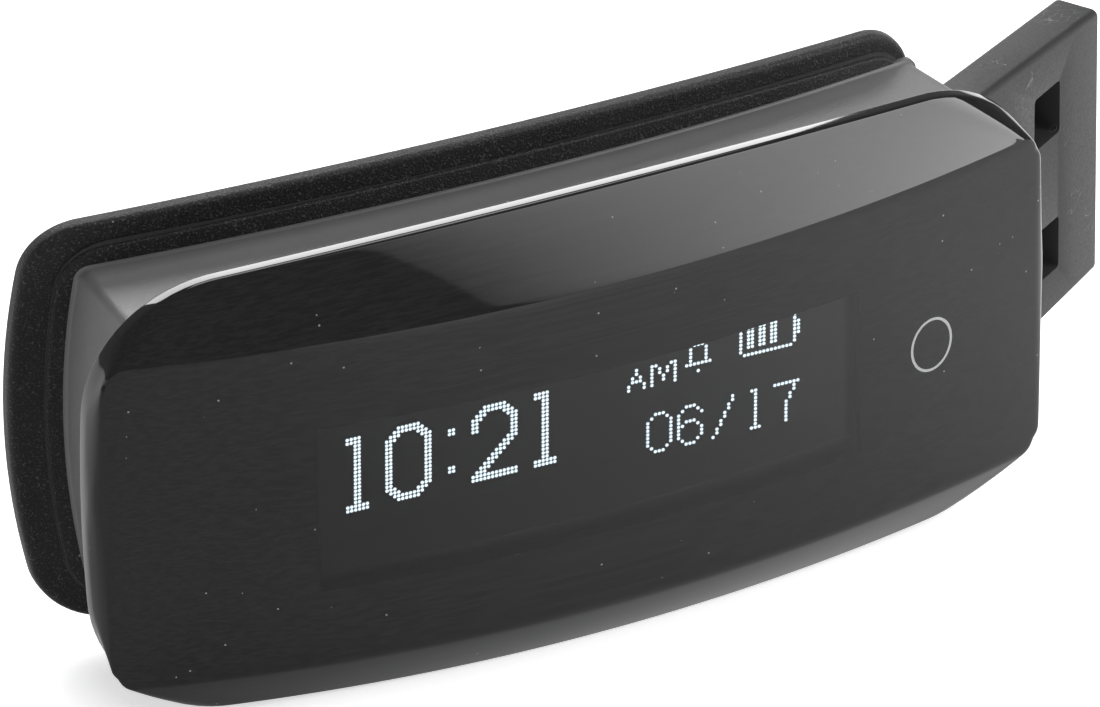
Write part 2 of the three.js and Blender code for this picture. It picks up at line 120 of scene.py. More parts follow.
def bow(x, radius):
    return radius - math.sqrt(radius * radius - x * x)


def bowed(outline, depth, radius):
    return [Vector((x, depth + bow(x, radius), z)) for x, z in outline]


def roundRings(a, corner, b, steps):
    # Rings of a quadratic curve from ring a to ring b, bent towards the ring corner.
    rings = []
    for i in range(steps + 1):
        t = i / steps
        rings.append([
            p * (1 - t) ** 2 + c * (2 * t * (1 - t)) + q * t * t for p, c, q in zip(a, corner, b)
        ])
    return rings


def deselectAll():
    bpy.ops.object.select_all(action="DESELECT")


def pick(piece):
    deselectAll()
    piece.select_set(True)
    bpy.context.view_layer.objects.active = piece


def faceOutwards(piece):
    pick(piece)
    bpy.ops.object.mode_set(mode="EDIT")
    bpy.ops.mesh.select_all(action="SELECT")
    bpy.ops.mesh.normals_make_consistent(inside=False)
    bpy.ops.object.mode_set(mode="OBJECT")


def loft(name, rings, caps=(True, True), closed=False):
    # A piece through matched rings, made by extruding one circle of edges again and again.
    count = len(rings[0])
    deselectAll()
    bpy.ops.mesh.primitive_circle_add(vertices=count, radius=0.01, fill_type="NOTHING")
    piece = bpy.context.object
    piece.name = name
    bpy.ops.object.mode_set(mode="EDIT")
    bpy.ops.mesh.select_mode(type="EDGE")
    bpy.ops.mesh.select_all(action="SELECT")
    for _ in rings[1:]:
        bpy.ops.mesh.extrude_edges_move()
    bpy.ops.object.mode_set(mode="OBJECT")
    mesh = piece.data
    for i, ring in enumerate(rings):
        for k, p in enumerate(ring):
            mesh.vertices[i * count + k].co = place(*p)
    ends = []
    if closed:
        ends.append((0, len(rings) - 1))
    else:
        ends += [(at,) for at, wanted in ((0, caps[0]), (len(rings) - 1, caps[1])) if wanted]
    for group in ends:
        ladder = len(group) == 1
        for item in list(mesh.vertices) + list(mesh.edges) + list(mesh.polygons):
            item.select = False
        for edge in mesh.edges:
            a, b = sorted(edge.vertices)
            if a // count != b // count or a // count not in group:
                continue
            a, b = a % count, b % count
            skipped = (min(a, b), max(a, b)) in ((0, count - 1), (count // 2 - 1, count // 2))
            edge.select = not (ladder and skipped)
        bpy.ops.object.mode_set(mode="EDIT")
        bpy.ops.mesh.bridge_edge_loops()
        bpy.ops.object.mode_set(mode="OBJECT")
    piece.matrix_world = Matrix.Identity(4)
    faceOutwards(piece)
    return piece


def smooth(piece, degrees):
    pick(piece)
    bpy.ops.object.shade_smooth_by_angle(angle=math.radians(degrees))


def settle(piece):
    # Puts the piece's place into its mesh.
    pick(piece)
    bpy.ops.object.transform_apply(location=True, rotation=True, scale=True)


def applyBoolean(piece, tool, how):
    pick(piece)
    cut = piece.modifiers.new("cut", "BOOLEAN")
    cut.operation, cut.object, cut.solver = how, tool, "EXACT"
    bpy.ops.object.modifier_apply(modifier=cut.name)


def blockBetween(name, low, high):
    deselectAll()
    middle = [(a + b) / 2 for a, b in zip(low, high)]
    bpy.ops.mesh.primitive_cube_add(size=1, location=place(*middle))
    block = bpy.context.object
    block.name = name
    block.scale = [(b - a) * mm for a, b in zip(low, high)]
    settle(block)
    return block


def copyOf(piece, name):
    twin = piece.copy()
    twin.data = piece.data.copy()
    twin.name = name
    scene.collection.objects.link(twin)
    return twin


def bevelEdges(piece, width, segments, degrees):
    pick(piece)
    edgeRound = piece.modifiers.new("round", "BEVEL")
    edgeRound.width, edgeRound.segments = width * mm, segments
    edgeRound.limit_method, edgeRound.angle_limit = "ANGLE", math.radians(degrees)
    edgeRound.harden_normals = False
    bpy.ops.object.modifier_apply(modifier=edgeRound.name)


def finishPiece(piece, material, replaced=(), body="tracker"):
    piece.data.materials.clear()
    piece.data.materials.append(material)
    if replaced:
        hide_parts(*replaced)
    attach(piece, body)


# Shader groups.
def newGroup(name, inputs, outputs):
    group = bpy.data.node_groups.new(name, "ShaderNodeTree")
    for label, kind, value in inputs:
        socket = group.interface.new_socket(name=label, in_out="INPUT", socket_type=kind)
        if value is not None:
            socket.default_value = value
    for label, kind in outputs:
        group.interface.new_socket(name=label, in_out="OUTPUT", socket_type=kind)
    return group, group.nodes.new("NodeGroupInput"), group.nodes.new("NodeGroupOutput")


def addNode(tree, kind, **values):
    node = tree.nodes.new(kind)
    for key, value in values.items():
        setattr(node, key, value)
    return node


def wire(tree, source, target, sourceName=0, targetName=0):
    tree.links.new(source.outputs[sourceName], target.inputs[targetName])


def mathNode(tree, operation, first=None, second=None, clamp=False):
    node = addNode(tree, "ShaderNodeMath", operation=operation, use_clamp=clamp)
    for i, value in enumerate((first, second)):
        if value is None:
            continue
        if isinstance(value, (int, float)):
            node.inputs[i].default_value = value
        else:
            tree.links.new(value, node.inputs[i])
    return node.outputs[0]


def rampNode(tree, value, low, high, outLow=0.0, outHigh=1.0):
    node = addNode(tree, "ShaderNodeMapRange", clamp=True)
    tree.links.new(value, node.inputs["Value"])
    for key, number in (("From Min", low), ("From Max", high), ("To Min", outLow), ("To Max", outHigh)):
        node.inputs[key].default_value = number
    return node.outputs[0]


vectorIn = ("Vector", "NodeSocketVector", None)


def makeGrainGroup():
    tree, given, made = newGroup(
        "mouldGrain", [vectorIn, ("Scale", "NodeSocketFloat", 9000.0)],
        [("Height", "NodeSocketFloat"), ("Tone", "NodeSocketFloat")])
    fine = addNode(tree, "ShaderNodeTexNoise")
    fine.inputs["Detail"].default_value = 3
    fine.inputs["Roughness"].default_value = 0.65
    wire(tree, given, fine, "Vector", "Vector")
    wire(tree, given, fine, "Scale", "Scale")
    pits = addNode(tree, "ShaderNodeTexVoronoi", feature="SMOOTH_F1")
    wire(tree, given, pits, "Vector", "Vector")
    pitScale = mathNode(tree, "MULTIPLY", given.outputs["Scale"], 0.8)
    tree.links.new(pitScale, pits.inputs["Scale"])
    pitDepth = mathNode(tree, "MULTIPLY", pits.outputs["Distance"], 0.5)
    height = mathNode(tree, "ADD", fine.outputs[0], pitDepth)
    tree.links.new(height, made.inputs["Height"])
    broad = addNode(tree, "ShaderNodeTexNoise")
    broad.inputs["Detail"].default_value = 4
    wire(tree, given, broad, "Vector", "Vector")
    broadScale = mathNode(tree, "MULTIPLY", given.outputs["Scale"], 0.03)
    tree.links.new(broadScale, broad.inputs["Scale"])
    tree.links.new(broad.outputs[0], made.inputs["Tone"])
    return tree


def makeDustGroup():
    tree, given, made = newGroup(
        "dustSpecks",
        [vectorIn, ("Spread", "NodeSocketFloat", 900.0), ("Amount", "NodeSocketFloat", 0.05)],
        [("Mask", "NodeSocketFloat")])
    cells = addNode(tree, "ShaderNodeTexVoronoi", feature="F1")
    cells.inputs["Randomness"].default_value = 1
    wire(tree, given, cells, "Vector", "Vector")
    wire(tree, given, cells, "Spread", "Scale")
    speckEdge, speckCore = 0.07, 0.045  # of a cell
    nearMiddle = rampNode(tree, cells.outputs["Distance"], speckEdge, speckCore)
    luck = addNode(tree, "ShaderNodeSeparateColor")
    tree.links.new(cells.outputs["Color"], luck.inputs[0])
    chosen = mathNode(tree, "LESS_THAN", luck.outputs[0], given.outputs["Amount"])
    mask = mathNode(tree, "MULTIPLY", nearMiddle, chosen)
    tree.links.new(mask, made.inputs["Mask"])
    return tree


def makeScratchGroup():
    tree, given, made = newGroup(
        "fineScratches",
        [vectorIn, ("Turn", "NodeSocketFloat", 0.6), ("Scale", "NodeSocketFloat", 700.0),
         ("Length", "NodeSocketFloat", 60.0), ("Amount", "NodeSocketFloat", 0.3)],
        [("Mask", "NodeSocketFloat")])
    turned = addNode(tree, "ShaderNodeVectorRotate", rotation_type="Y_AXIS")
    wire(tree, given, turned, "Vector", "Vector")
    wire(tree, given, turned, "Turn", "Angle")
    stretch = addNode(tree, "ShaderNodeCombineXYZ")
    squeezed = mathNode(tree, "DIVIDE", 1.0, given.outputs["Length"])
    tree.links.new(squeezed, stretch.inputs[0])
    stretch.inputs[1].default_value = 1
    stretch.inputs[2].default_value = 1
    scaled = addNode(tree, "ShaderNodeVectorMath", operation="MULTIPLY")
    wire(tree, turned, scaled, 0, 0)
    wire(tree, stretch, scaled, 0, 1)
    lines = addNode(tree, "ShaderNodeTexNoise")
    lines.inputs["Detail"].default_value = 2
    wire(tree, scaled, lines, 0, "Vector")
    wire(tree, given, lines, "Scale", "Scale")
    distance = mathNode(tree, "ABSOLUTE", mathNode(tree, "SUBTRACT", lines.outputs[0], 0.5))
    thin = rampNode(tree, distance, 0.008, 0.0)
    patches = addNode(tree, "ShaderNodeTexNoise")
    patches.inputs["Scale"].default_value = 330
    wire(tree, given, patches, "Vector", "Vector")
    excess = mathNode(tree, "SUBTRACT", given.outputs["Amount"], patches.outputs[0])
    shown = rampNode(tree, excess, 0.0, 0.06)
    tree.links.new(mathNode(tree, "MULTIPLY", thin, shown), made.inputs["Mask"])
    return tree


def makeHairlineGroup():
    tree, given, made = newGroup(
        "brushedLines",
        [vectorIn, ("Scale", "NodeSocketFloat", 9000.0), ("Length", "NodeSocketFloat", 250.0)],
        [("Value", "NodeSocketFloat")])
    stretch = addNode(tree, "ShaderNodeCombineXYZ")
    squeezed = mathNode(tree, "DIVIDE", 1.0, given.outputs["Length"])
    tree.links.new(squeezed, stretch.inputs[0])
    stretch.inputs[1].default_value = 1
    stretch.inputs[2].default_value = 1
    scaled = addNode(tree, "ShaderNodeVectorMath", operation="MULTIPLY")
    wire(tree, given, scaled, "Vector", 0)
    wire(tree, stretch, scaled, 0, 1)
    lines = addNode(tree, "ShaderNodeTexNoise")
    lines.inputs["Detail"].default_value = 3
    lines.inputs["Roughness"].default_value = 0.6
    wire(tree, scaled, lines, 0, "Vector")
    wire(tree, given, lines, "Scale", "Scale")
    tree.links.new(lines.outputs[0], made.inputs["Value"])
    return tree


mouldGrain = makeGrainGroup()
dustSpecks = makeDustGroup()
fineScratches = makeScratchGroup()
brushedLines = makeHairlineGroup()
print("shader groups are made")


# Finishes.
def placeGroup(tree, group, vector, **values):
    node = tree.nodes.new("ShaderNodeGroup")
    node.node_tree = group
    tree.links.new(vector, node.inputs["Vector"])
    for key, value in values.items():
        node.inputs[key].default_value = value
    return node


def startMaterial(name):
    material = bpy.data.materials.new(name)
    material.use_nodes = True
    tree = material.node_tree
    shader = tree.nodes["Principled BSDF"]
    where = addNode(tree, "ShaderNodeTexCoord").outputs["Object"]
    return material, tree, shader, where


def mixColour(tree, factor, first, second, kind="MIX"):
    node = addNode(tree, "ShaderNodeMix", data_type="RGBA", blend_type=kind)
    if isinstance(factor, (int, float)):
        node.inputs[0].default_value = factor
    else:
        tree.links.new(factor, node.inputs[0])
    for slotIndex, value in ((6, first), (7, second)):
        if isinstance(value, (tuple, list)):
            node.inputs[slotIndex].default_value = (*value[:3], 1)
        else:
            tree.links.new(value, node.inputs[slotIndex])
    return node.outputs[2]


def surface(name, s):
    # A moulded, printed or metal finish: grain, tone, painted glints, dust, scratches and brushed lines by
    # amount.
    material, tree, shader, where = startMaterial(name)
    grain = placeGroup(tree, mouldGrain, where, Scale=s.get("grainScale", 9000.0))
    tone = rampNode(tree, grain.outputs["Tone"], 0.3, 0.7)
    base, toned = s["base"], s.get("toned", [c * 0.8 for c in s["base"]])
    colour = mixColour(tree, tone, toned, base)
    paintedGlint = s.get("paintedGlint", 0)
    # Painted glints: the grain's peaks are lightened towards grey in the base colour.
    if paintedGlint:
        paintedGlintSpots = rampNode(tree, grain.outputs["Height"], 0.78, 0.95)
        colour = mixColour(tree, mathNode(tree, "MULTIPLY", paintedGlintSpots, paintedGlint), colour, (0.5, 0.5, 0.5))
    rough = rampNode(tree, grain.outputs["Height"], 0.4, 0.9, s["rough"] * 0.85, min(s["rough"] * 1.15, 1))
    height = grain.outputs["Height"]
    if s.get("brushed"):
        lines = placeGroup(tree, brushedLines, where, Scale=s.get("brushScale", 9000.0))
        streaks = rampNode(tree, lines.outputs[0], 0.4, 0.6, 0.0, s["brushed"])
        colour = mixColour(tree, streaks, colour, s.get("brushTone", (0.3, 0.3, 0.3)))
        ridges = mathNode(tree, "MULTIPLY", lines.outputs[0], s.get("brushDepth", 0.3))
        height = mathNode(tree, "ADD", height, ridges)
    if s.get("scratches"):
        marks = placeGroup(
            tree, fineScratches, where, Amount=s["scratches"], Turn=s.get("scratchTurn", 0.6),
            Scale=s.get("scratchScale", 700.0))
        worn = mathNode(tree, "MULTIPLY", marks.outputs[0], 0.35)
        colour = mixColour(tree, worn, colour, (0.35, 0.35, 0.36))
        rough = mathNode(tree, "ADD", rough, mathNode(tree, "MULTIPLY", marks.outputs[0], 0.2), clamp=True)
    if s.get("dust"):
        specks = placeGroup(tree, dustSpecks, where, Spread=s.get("dustSpread", 900.0), Amount=s["dust"])
        colour = mixColour(tree, specks.outputs[0], colour, s.get("dustTone", (0.32, 0.31, 0.3)))
        rough = mathNode(tree, "ADD", rough, mathNode(tree, "MULTIPLY", specks.outputs[0], 0.5), clamp=True)
    tree.links.new(colour, shader.inputs["Base Color"])
    tree.links.new(rough, shader.inputs["Roughness"])
    shader.inputs["Metallic"].default_value = s.get("metal", 0)
    shader.inputs["IOR"].default_value = s.get("ior", 1.5)
    shader.inputs["Specular IOR Level"].default_value = s.get("specular", 0.5)
    bump = addNode(tree, "ShaderNodeBump")
    bump.inputs["Strength"].default_value = s.get("bump", 0.1)
    bump.inputs["Distance"].default_value = s.get("bumpDistance", 0.02) * mm
    tree.links.new(height, bump.inputs["Height"])
    wire(tree, bump, shader, 0, "Normal")
    return material


finishes = {
    "lens_plastic": dict(base=(0.0045, 0.0045, 0.005), toned=(0.0035, 0.0035, 0.004), rough=0.045,
                         bump=0.012, ior=1.45,
                         grainScale=2500.0, brushed=0.07, brushTone=(0.06, 0.06, 0.062), brushDepth=0.5,
                         dust=0.3, dustSpread=1400.0, dustTone=(0.16, 0.16, 0.155)),
    "housing_plastic": dict(base=(0.11, 0.11, 0.112), toned=(0.1, 0.1, 0.102), rough=0.45, bump=0.25,
                            grainScale=14000.0, dust=0.25, dustSpread=1100.0),
    # The cover's grain carries painted glints.
    "cover_plastic": dict(base=(0.009, 0.009, 0.0095), toned=(0.0065, 0.0065, 0.007), rough=0.46, bump=1.0,
                          specular=0.3, bumpDistance=0.04, grainScale=14000.0, paintedGlint=0.1,
                          dust=0.25, dustSpread=1200.0,
                          dustTone=(0.2, 0.2, 0.19)),
    "blade_plastic": dict(base=(0.026, 0.026, 0.0265), toned=(0.021, 0.021, 0.0215), rough=0.5,
                          specular=0.25, bump=0.35,
                          grainScale=11000.0, scratches=0.4, scratchTurn=0.75, scratchScale=1100.0,
                          dust=0.15, dustSpread=1000.0),
    "contact_gold": dict(base=(0.85, 0.62, 0.25), toned=(0.78, 0.54, 0.2), rough=0.24, metal=1, bump=0.15,
                         grainScale=9000.0, brushed=0.08, brushTone=(0.95, 0.8, 0.5), scratches=0.42),
    "mask_film": dict(base=(0.006, 0.006, 0.0065), rough=0.55, bump=0.2, grainScale=9000.0),
    "ring_print": dict(base=(0.28, 0.285, 0.29), toned=(0.24, 0.245, 0.25), rough=0.05, bump=0.02,
                       grainScale=9000.0),
    "adhesive": dict(base=(0.02, 0.02, 0.022), rough=0.8, bump=0.4, grainScale=6000.0),
    "foam": dict(base=(0.05, 0.05, 0.052), rough=0.95, bump=1.0, bumpDistance=0.08, grainScale=5000.0),
    "board_laminate": dict(base=(0.012, 0.11, 0.045), toned=(0.01, 0.085, 0.035), rough=0.32, bump=0.2,
                           grainScale=3500.0, brushed=0.06, brushTone=(0.1, 0.3, 0.15)),
    "chip_resin": dict(base=(0.018, 0.018, 0.019), rough=0.5, bump=0.5, grainScale=12000.0, dust=0.05),
    "polyimide": dict(base=(0.42, 0.16, 0.02), toned=(0.36, 0.12, 0.015), rough=0.3, bump=0.15,
                      grainScale=4000.0, brushed=0.15, brushTone=(0.7, 0.35, 0.1)),
    "ceramic": dict(base=(0.7, 0.66, 0.55), rough=0.5, bump=0.4, grainScale=9000.0),
    "steel_can": dict(base=(0.6, 0.6, 0.61), toned=(0.52, 0.52, 0.53), rough=0.28, metal=1, bump=0.1,
                      grainScale=7000.0, brushed=0.15, brushTone=(0.8, 0.8, 0.8), scratches=0.4),
    "copper_foil": dict(base=(0.75, 0.36, 0.2), toned=(0.6, 0.27, 0.15), rough=0.3, metal=1, bump=0.2,
                        grainScale=6000.0),
    "spring_brass": dict(base=(0.75, 0.56, 0.25), toned=(0.66, 0.47, 0.2), rough=0.25, metal=1, bump=0.1,
                         grainScale=8000.0, brushed=0.1, brushTone=(0.9, 0.75, 0.45)),
    "pouch_foil": dict(base=(0.66, 0.67, 0.68), toned=(0.58, 0.59, 0.6), rough=0.35, metal=1, bump=0.6,
                       bumpDistance=0.06, grainScale=1500.0, scratches=0.35),
    "weight_metal": dict(base=(0.36, 0.33, 0.27), toned=(0.3, 0.27, 0.22), rough=0.5, metal=1, bump=0.6,
                         grainScale=9000.0, scratches=0.35),
}


def tintedClear(name, tint, rough, grainScale, bumpStrength):
    material, tree, shader, where = startMaterial(name)
    grain = placeGroup(tree, mouldGrain, where, Scale=grainScale)
    tone = rampNode(tree, grain.outputs["Tone"], 0.3, 0.7)
    tree.links.new(mixColour(tree, tone, [c * 0.94 for c in tint], tint), shader.inputs["Base Color"])
    roughness = rampNode(tree, grain.outputs["Height"], 0.4, 0.9, rough, rough * 1.4)
    tree.links.new(roughness, shader.inputs["Roughness"])
    shader.inputs["Transmission Weight"].default_value = 1
    shader.inputs["IOR"].default_value = 1.5
    bump = addNode(tree, "ShaderNodeBump")
    bump.inputs["Strength"].default_value = bumpStrength
    bump.inputs["Distance"].default_value = 0.01 * mm
    wire(tree, grain, bump, "Height", "Height")
    wire(tree, bump, shader, 0, "Normal")
    return material


def litDots(name, strength):
    material, tree, shader, where = startMaterial(name)
    grain = placeGroup(tree, mouldGrain, where, Scale=5000.0)
    tone = rampNode(tree, grain.outputs["Tone"], 0.3, 0.7)
    glow = mixColour(tree, tone, (0.66, 0.8, 0.86), (0.78, 0.9, 0.94))
    tree.links.new(glow, shader.inputs["Emission Color"])
    tree.links.new(glow, shader.inputs["Base Color"])
    shader.inputs["Emission Strength"].default_value = strength
    shader.inputs["Roughness"].default_value = 0.4
    return material


made = {slot: surface(slot, settings) for slot, settings in finishes.items()}
made["panel_glass"] = surface("panel_glass", dict(
    base=(0.006, 0.007, 0.008), toned=(0.004, 0.005, 0.006), rough=0.06, bump=0.01, grainScale=3000.0))
windowClear = tintedClear("window_clear", (0.2, 0.2, 0.205), 0.02, 2500.0, 0.01)
dotLight = litDots("dot_light", 7.0)
print("finishes are made")


# Front lens.
lens = {
    "faceHalfLength": 20.9, "faceHalfHeight": 7.4, "faceLow": -0.42, "faceBow": 74.4, "faceCorner": 0.8,
    "crease": 0.3, "support": 0.75, "bulge": 0.1,
    "rimHalfLength": 21.35, "rimHalfHeight": 10.45, "rimDepth": 2.0, "rimBow": 119,
    "sideRadius": 250, "endRadius": 79, "rimCorner": 5.9,
    "rimRound": 0.16, "rimWall": 0.5, "backRound": 0.08, "backInset": 1.3,
    "seatDepth": 0.06,
    "pocketHalfLength": 18.2, "pocketHalfHeight": 6.35, "pocketDepth": 1.0, "pocketLip": 0.6,
    "pocketCorner": 0.6,
    "nearlyFlatSide": 4000, "nearlyFlatEnd": 400,  # radii of the face's and pocket's almost straight edges
    "window": (-12.5, 11.6, -4.38, 3.2), "windowFront": -3, "windowBack": 8,
    "bevelSteps": 12, "mostOfBevel": 0.48,  # a rounded edge takes at most this share of the bevel
}


def rimRing(s, inset, depth):
    outline = barrel(
        s["rimHalfLength"] - inset, s["rimHalfHeight"] - inset, s["sideRadius"] - inset,
        s["endRadius"] - inset, s["rimCorner"] - min(inset, 4))
    return bowed(outline, depth, s["rimBow"])


def makeLens(s):
    def faceRing(inset):
        corner = max(s["faceCorner"] - inset * 0.6, 0.3)
        outline = barrel(
            s["faceHalfLength"] - inset, s["faceHalfHeight"] - inset,
            s["nearlyFlatSide"], s["nearlyFlatEnd"], corner, s["faceLow"])
        return bowed(outline, 0, s["faceBow"])

    crease, rim = faceRing(0), rimRing(s, 0, s["rimDepth"])
    bulged = []
    for a, b in zip(crease, rim):
        slope = (b - a).normalized()
        out = Vector((0, -1, 0)) - slope * slope.dot(Vector((0, -1, 0)))
        bulged.append((a + b) / 2 + out.normalized() * 2 * s["bulge"])

    def bevelPoint(k, t):
        return crease[k] * (1 - t) ** 2 + bulged[k] * (2 * t * (1 - t)) + rim[k] * t * t

    def bevelRing(distance, fromRim=False):
        ring = []
        for k, (a, b) in enumerate(zip(crease, rim)):
            t = min(distance / (b - a).length, s["mostOfBevel"])
            ring.append(bevelPoint(k, 1 - t if fromRim else t))
        return ring

    start, stop = bevelRing(s["crease"]), bevelRing(s["rimRound"], True)
    rings = [faceRing(s["support"])]
    rings += roundRings(faceRing(s["crease"]), crease, start, 7)
    for i in range(1, s["bevelSteps"]):
        ring = []
        for k, (a, b) in enumerate(zip(crease, rim)):
            length = (b - a).length
            low = min(s["crease"] / length, s["mostOfBevel"])
            high = 1 - min(s["rimRound"] / length, s["mostOfBevel"])
            ring.append(bevelPoint(k, low + (high - low) * i / s["bevelSteps"]))
        rings.append(ring)
    wallFoot = [p + Vector((0, s["rimRound"], 0)) for p in rim]
    rings += roundRings(stop, rim, wallFoot, 9)
    back, seat = s["rimDepth"] + s["rimWall"], s["seatDepth"]
    rings += roundRings(
        rimRing(s, 0, back - s["backRound"] + seat), rimRing(s, 0, back + seat),
        rimRing(s, s["backRound"], back + seat), 4)
    rings.append(rimRing(s, s["backInset"], back + seat))
    pocket = barrel(
        s["pocketHalfLength"], s["pocketHalfHeight"], s["nearlyFlatSide"], s["nearlyFlatEnd"],
        s["pocketCorner"], s["faceLow"])
    rings.append(bowed(pocket, s["pocketDepth"] + s["pocketLip"], s["faceBow"]))
    rings.append(bowed(pocket, s["pocketDepth"], s["faceBow"]))
    shell = loft("lens_shell", rings)
    left, right, low, high = s["window"]
    block = blockBetween(
        "window_block", (left, s["windowFront"], low), (right, s["windowBack"], high))
    pane = copyOf(shell, "window_pane")
    applyBoolean(shell, block, "DIFFERENCE")
    applyBoolean(pane, block, "INTERSECT")
    bpy.data.objects.remove(block)
    for piece in (shell, pane):
        smooth(piece, 30)
    finishPiece(shell, made["lens_plastic"], ("front_lens",))
    finishPiece(pane, windowClear, ("front_lens",))


makeLens(lens)
print("lens is made")


# Touch ring.
touchRing = {"x": 15.16, "z": -0.6, "radiusX": 0.93, "radiusZ": 1.12, "line": 0.12, "proud": 0.006,
             "sunk": 0.03, "steps": 96}


def makeTouchRing(s):
    rings = []
    sides = ((0.0, -s["proud"]), (s["line"], -s["proud"]), (s["line"], s["sunk"]), (0.0, s["sunk"]))
    for outward, lift in sides:
        ring = []
        for k in range(s["steps"]):
            angle = 2 * math.pi * k / s["steps"]
            x = s["x"] + (s["radiusX"] + outward) * math.cos(angle)
            z = s["z"] + (s["radiusZ"] + outward) * math.sin(angle)
            ring.append(Vector((x, bow(x, lens["faceBow"]) + lift, z)))
        rings.append(ring)
    ringPrint = loft("touch_ring_print", rings, closed=True)
    smooth(ringPrint, 40)
    finishPiece(ringPrint, made["ring_print"], ("touch_ring",))


makeTouchRing(touchRing)
print("touch ring is made")


# Housing.
housing = {
    "waist": dict(halfLength=19.23, halfHeight=8.5, sideRadius=140, endRadius=40, corner=0.6,
                  leastCorner=0.5),
    "coverFront": 7.6, "coverBow": 58, "wall": 1.0, "rightFlare": 1.3, "footFlare": 0.2,
    "collarInset": 0.6, "collarDepth": 0.8, "collarRound": 0.15,
    "foot": dict(centre=-0.5, halfLength=19.5, halfHeight=9.45, sideRadius=120, endRadius=37, corner=2.2),
    "footRise": 0.22, "footFillet": 0.14, "footSunk": 0.05,
    "lensSeat": 0.16, "seatInset": 1.2, "waistFillet": 0.25, "innerCorner": 0.6,
}


def waistRing(s, grow, depth, bowRadius, corner=None, flare=0.0):
    w = s["waist"]
    outline = barrel(
        w["halfLength"] + grow, w["halfHeight"] + grow, w["sideRadius"] + grow, w["endRadius"] + grow,
        max(w["corner"] + grow, w["leastCorner"]) if corner is None else corner)
    wider = 1 + flare * s["rightFlare"] / w["halfLength"]
    return bowed([(x * wider if x > 0 else x, z) for x, z in outline], depth, bowRadius)


def footRing(s, inset, depth):
    f = s["foot"]
    outline = barrel(
        f["halfLength"] - inset, f["halfHeight"] - inset, f["sideRadius"] - inset, f["endRadius"] - inset,
        f["corner"], centre=f["centre"])
    return bowed(outline, depth, s["coverBow"])


def makeHousing(s):
    front = lens["rimDepth"] + lens["rimWall"] + s["lensSeat"]
    back = front + s["collarDepth"]
    inset = s["collarInset"]
    edge, fillet = s["collarRound"], s["waistFillet"]
    rings = [rimRing(lens, inset + s["seatInset"], front)]
    rings += roundRings(rimRing(lens, inset + edge, front), rimRing(lens, inset, front),
                        rimRing(lens, inset, front + edge), 3)
    rings += roundRings(rimRing(lens, inset, back - edge), rimRing(lens, inset, back),
                        rimRing(lens, inset + edge, back), 3)
    rings += roundRings(waistRing(s, fillet, back, lens["rimBow"], flare=1),
                        waistRing(s, 0, back, lens["rimBow"], flare=1),
                        waistRing(s, 0, back + fillet, lens["rimBow"], flare=1), 4)
    footBack = s["coverFront"] - s["footSunk"]
    footFront, fillet, share = footBack - s["footRise"], s["footFillet"], s["footFlare"]
    rings += roundRings(waistRing(s, 0, footFront - fillet, s["coverBow"], flare=share),
                        waistRing(s, 0, footFront, s["coverBow"], flare=share),
                        waistRing(s, fillet, footFront, s["coverBow"], flare=share), 4)
    rings.append(waistRing(s, fillet, footBack, s["coverBow"], flare=share))
    rings.append(waistRing(s, -s["wall"], footBack, s["coverBow"], s["innerCorner"]))
    rings.append(waistRing(s, -s["wall"], front, lens["rimBow"], s["innerCorner"]))
    return loft("housing_shell", rings, closed=True)


# USB blade.
blade = {
    "tipX": 28.55, "tipDepth": 12.4, "tilt": 32.6, "length": 13.4, "width": 12.45, "thickness": 2.1,
    "draft": 3.4, "round": 0.3, "tipRound": 0.22,
    "windowFromTip": 3.3, "windowLength": 2.1, "windowWidth": 2.45, "windowOffset": 3.25, "windowDeep": 1.3,
    "windowShallow": 0.25, "windowRound": 0.18, "edgeRound": 0.06, "leastRound": 0.08,
    "cutAbove": 1.0, "slotLength": 18.0, "slotGap": 0.08, "slotPastTip": 2.0,
}


def bladePoint(s, along, through, across):
    # A point of the blade: along from the tip to the root, through its thickness, across its width.
    tilt = math.radians(s["tilt"])
    x = s["tipX"] - along * math.cos(tilt) - through * math.sin(tilt)
    y = s["tipDepth"] - along * math.sin(tilt) + through * math.cos(tilt)
    return Vector((x, y, across))


def bladeBlock(name, s, corners):
    # A block from eight blade corners: the near face first, then the far face.
    deselectAll()
    bpy.ops.mesh.primitive_cube_add(size=2)
    block = bpy.context.object
    block.name = name
    for vertex in block.data.vertices:
        picked = corners[(vertex.co.x > 0, vertex.co.y > 0, vertex.co.z > 0)]
        vertex.co = place(*bladePoint(s, *picked))
    faceOutwards(block)
    return block


def bladeCorners(near, far, front, floors, low, high):
    # Floors holds the depth at the near end and at the far end.
    corners = {}
    for isFar in (False, True):
        for isDeep in (False, True):
            for isHigh in (False, True):
                corners[(isFar, isDeep, isHigh)] = (
                    far if isFar else near, floors[isFar] if isDeep else front, high if isHigh else low)
    return corners


def roundedBladeRing(s, along, inset, steps=6):
    # A rectangle with rounded corners across the blade, at a distance from its tip.
    half = s["width"] / 2 + along * math.tan(math.radians(s["draft"])) - inset
    low, high = inset, s["thickness"] - inset
    radius = max(s["round"] - inset * 0.5, s["leastRound"])
    corners = (
        (half - radius, high - radius, 0), (-half + radius, high - radius, 90),
        (-half + radius, low + radius, 180), (half - radius, low + radius, 270))
    ring = []
    for across, through, start in corners:
        for i in range(steps + 1):
            angle = math.radians(start + 90 * i / steps)
            ring.append(bladePoint(
                s, along, through + radius * math.sin(angle), across + radius * math.cos(angle)))
    shift = (steps + 1) // 2
    return ring[-shift:] + ring[:-shift]


